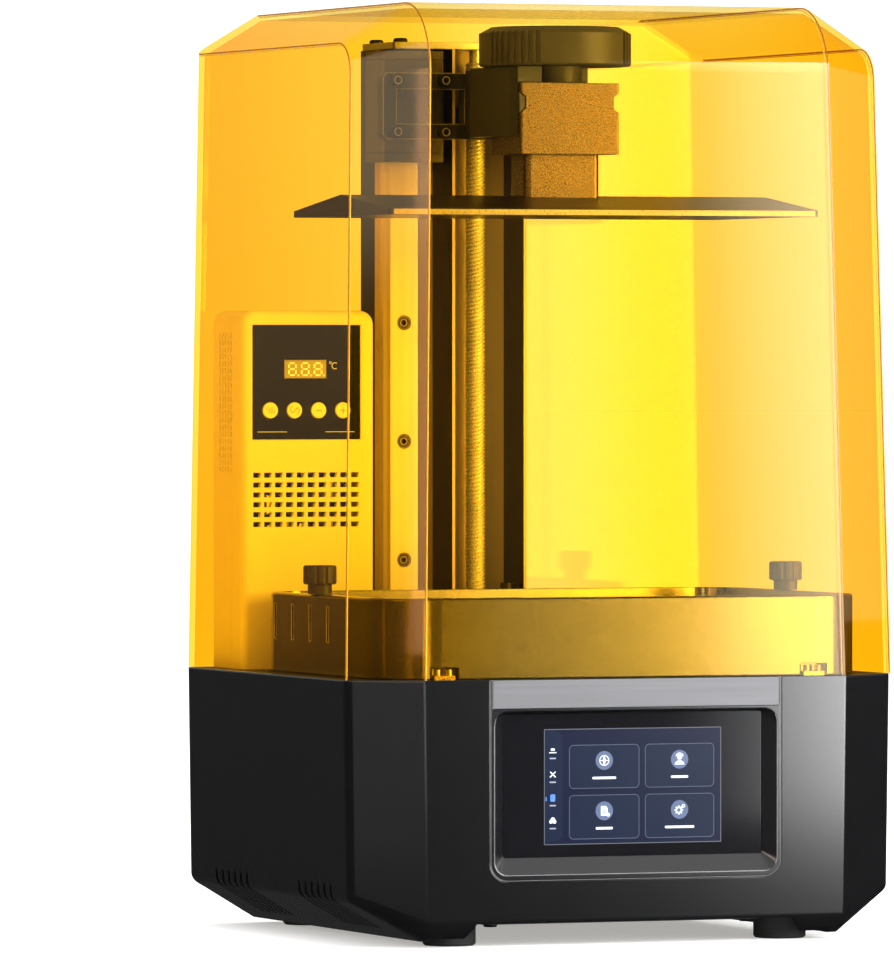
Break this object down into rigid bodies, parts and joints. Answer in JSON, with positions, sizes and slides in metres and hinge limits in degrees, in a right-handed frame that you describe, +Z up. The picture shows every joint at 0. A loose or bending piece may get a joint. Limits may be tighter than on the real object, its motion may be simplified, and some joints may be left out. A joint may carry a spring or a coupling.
{
  "type": "resin printer",
  "caption": "Desktop resin 3D printer: black base with touchscreen, vat, lift column with build platform, chamber heater and a lift-off clear amber hood.",
  "frame": {"origin": "under the middle of the printer, on the surface it stands on", "axes": "+X to the printer's right seen from the front, -Y to its front, +Z up"},
  "size_m": [0.29, 0.244, 0.46],
  "materials": {
    "amber_hood": "clear amber acrylic, polished",
    "base_gloss": "black, satin-gloss moulded",
    "black_steel": "black powder coat, fine texture",
    "foot_rubber": "matt black",
    "screw_steel": "black oxide steel",
    "bezel_black": "black with bright chamfers",
    "brushed_strip": "brushed lengthwise, clear anodised",
    "black_glass": "gloss black cover glass",
    "display_module": "display module",
    "screen_glass": "dark glass",
    "screen_panel": "masking screen",
    "reflector": "bright sheet",
    "circuit_green": "green circuit board",
    "lens_clear": "clear moulded lens",
    "bare_aluminium": "extruded, bare",
    "zinc_steel": "galvanised sheet",
    "rail_steel": "ground hardened steel",
    "motor_black": "black motor body",
    "screw_bright": "bright rolled steel",
    "nut_brass": "turned brass",
    "sensor_black": "black moulding",
    "anodised_black": "black anodised, fine blast",
    "plate_anodised": "blasted and anodised, laser-textured underside",
    "plate_dark": "dark blasted and anodised, laser-textured underside",
    "block_steel": "dark plated steel",
    "column_black": "satin black plated sheet",
    "knob_black": "black moulded",
    "vat_anodised": "grey anodised, machined",
    "film_clear": "clear film",
    "heater_plastic": "light grey fine moulded texture",
    "heater_fascia": "gloss black",
    "heater_display": "segment display",
    "button_light": "light round button",
    "element_metal": "finned heating element",
    "fan_black": "black moulded fan",
    "inlet_black": "black moulding",
    "rocker_black": "black rocker",
    "coupling_metal": "turned aluminium"
  },
  "bodies": {
    "base": {"base_housing": "base_gloss", "base_bottom_plate": "black_steel", "base_top_plate": "black_steel", "rubber_feet": "foot_rubber", "housing_screws": "screw_steel", "front_bezel": "bezel_black", "trim_strip": "brushed_strip", "touchscreen_glass": "black_glass", "touchscreen_display": "display_module", "screen_glass": "screen_glass", "screen_panel": "screen_panel", "light_box": "reflector", "led_board": "circuit_green", "lens_array": "lens_clear", "heat_sink": "bare_aluminium", "mainboard": "circuit_green", "power_supply": "zinc_steel", "z_column": "column_black", "column_top_plate": "bare_aluminium", "linear_rail": "rail_steel", "rail_screws": "screw_steel", "stepper_motor": "motor_black", "screw_top_bearing": "rail_steel", "homing_sensor": "sensor_black", "vat_locating_pins": "nut_brass", "heater_housing": "heater_plastic", "heater_front_panel": "heater_fascia", "heater_display": "heater_display", "heater_element": "element_metal", "heater_fan_frame": "fan_black", "cooling_fan_frame": "fan_black", "rear_panel": "zinc_steel", "power_inlet": "inlet_black", "usb_port": "zinc_steel"},
    "hood": {"hood": "amber_hood"},
    "vat": {"vat_tub": "vat_anodised", "film_ring": "bare_aluminium", "vat_film": "film_clear"},
    "left_thumbscrew": {"thumbscrew_left": "knob_black"},
    "right_thumbscrew": {"thumbscrew_right": "knob_black"},
    "carriage": {"rail_block": "block_steel", "carriage_bracket": "anodised_black", "bracket_screws": "screw_steel", "lead_nut": "nut_brass", "platform_arm": "anodised_black"},
    "screw": {"lead_screw": "screw_bright", "shaft_coupling": "coupling_metal", "motor_shaft": "screw_bright"},
    "platform": {"platform_adapter": "plate_anodised", "platform_post": "plate_anodised", "build_plate": "plate_dark"},
    "knob": {"clamp_knob": "knob_black"},
    "cooling_fan": {"cooling_fan_rotor": "fan_black"},
    "heater_fan": {"heater_fan_rotor": "fan_black"},
    "rocker": {"power_rocker": "rocker_black"},
    "button_1": {"heater_button_1": "button_light"},
    "button_2": {"heater_button_2": "button_light"},
    "button_3": {"heater_button_3": "button_light"},
    "button_4": {"heater_button_4": "button_light"}
  },
  "joints": [
    {"name": "hood_lift", "type": "slide", "parent": "base", "child": "hood", "axis": [0, 0, 1], "range_m": [0, 0.33]},
    {"name": "vat_lift", "type": "slide", "parent": "base", "child": "vat", "axis": [0, 0, 1], "range_m": [0, 0.015]},
    {"name": "left_thumbscrew_turn", "type": "hinge", "parent": "vat", "child": "left_thumbscrew", "pos_m": [-0.1255, -0.0174, 0.179], "axis": [0, 0, 1], "range_deg": [0, 1440]},
    {"name": "right_thumbscrew_turn", "type": "hinge", "parent": "vat", "child": "right_thumbscrew", "pos_m": [0.1255, -0.0174, 0.179], "axis": [0, 0, 1], "range_deg": [0, 1440]},
    {"name": "platform_travel", "type": "slide", "parent": "base", "child": "carriage", "axis": [0, 0, 1], "range_m": [-0.225, 0]},
    {"name": "lead_screw_turn", "type": "hinge", "parent": "base", "child": "screw", "pos_m": [-0.001, 0.086, 0.3], "axis": [0, 0, 1], "range_deg": [-10, 10160]},
    {"name": "platform_release", "type": "slide", "parent": "carriage", "child": "platform", "axis": [0, -1, 0], "range_m": [0, 0.02]},
    {"name": "knob_turn", "type": "hinge", "parent": "platform", "child": "knob", "pos_m": [0, -0.0174, 0.44], "axis": [0, 0, 1], "range_deg": [0, 720]},
    {"name": "cooling_fan_spin", "type": "hinge", "parent": "base", "child": "cooling_fan", "pos_m": [0.07, 0.11, 0.068], "axis": [0, 1, 0], "continuous": true},
    {"name": "heater_fan_spin", "type": "hinge", "parent": "base", "child": "heater_fan", "pos_m": [-0.0978, 0.082, 0.213], "axis": [0, 1, 0], "continuous": true},
    {"name": "power_switch_tilt", "type": "hinge", "parent": "base", "child": "rocker", "pos_m": [-0.0565, 0.1115, 0.062], "axis": [1, 0, 0], "range_deg": [-18, 0]},
    {"name": "heater_button_1_press", "type": "slide", "parent": "base", "child": "button_1", "axis": [0, 1, 0], "range_m": [0, 0.0005], "stiffness_N_per_m": 2000},
    {"name": "heater_button_2_press", "type": "slide", "parent": "base", "child": "button_2", "axis": [0, 1, 0], "range_m": [0, 0.0005], "stiffness_N_per_m": 2000},
    {"name": "heater_button_3_press", "type": "slide", "parent": "base", "child": "button_3", "axis": [0, 1, 0], "range_m": [0, 0.0005], "stiffness_N_per_m": 2000},
    {"name": "heater_button_4_press", "type": "slide", "parent": "base", "child": "button_4", "axis": [0, 1, 0], "range_m": [0, 0.0005], "stiffness_N_per_m": 2000}
  ],
  "couplings": [
    {"joint": "lead_screw_turn", "follows": "platform_travel", "rad_per_m": -785.4}
  ]
}
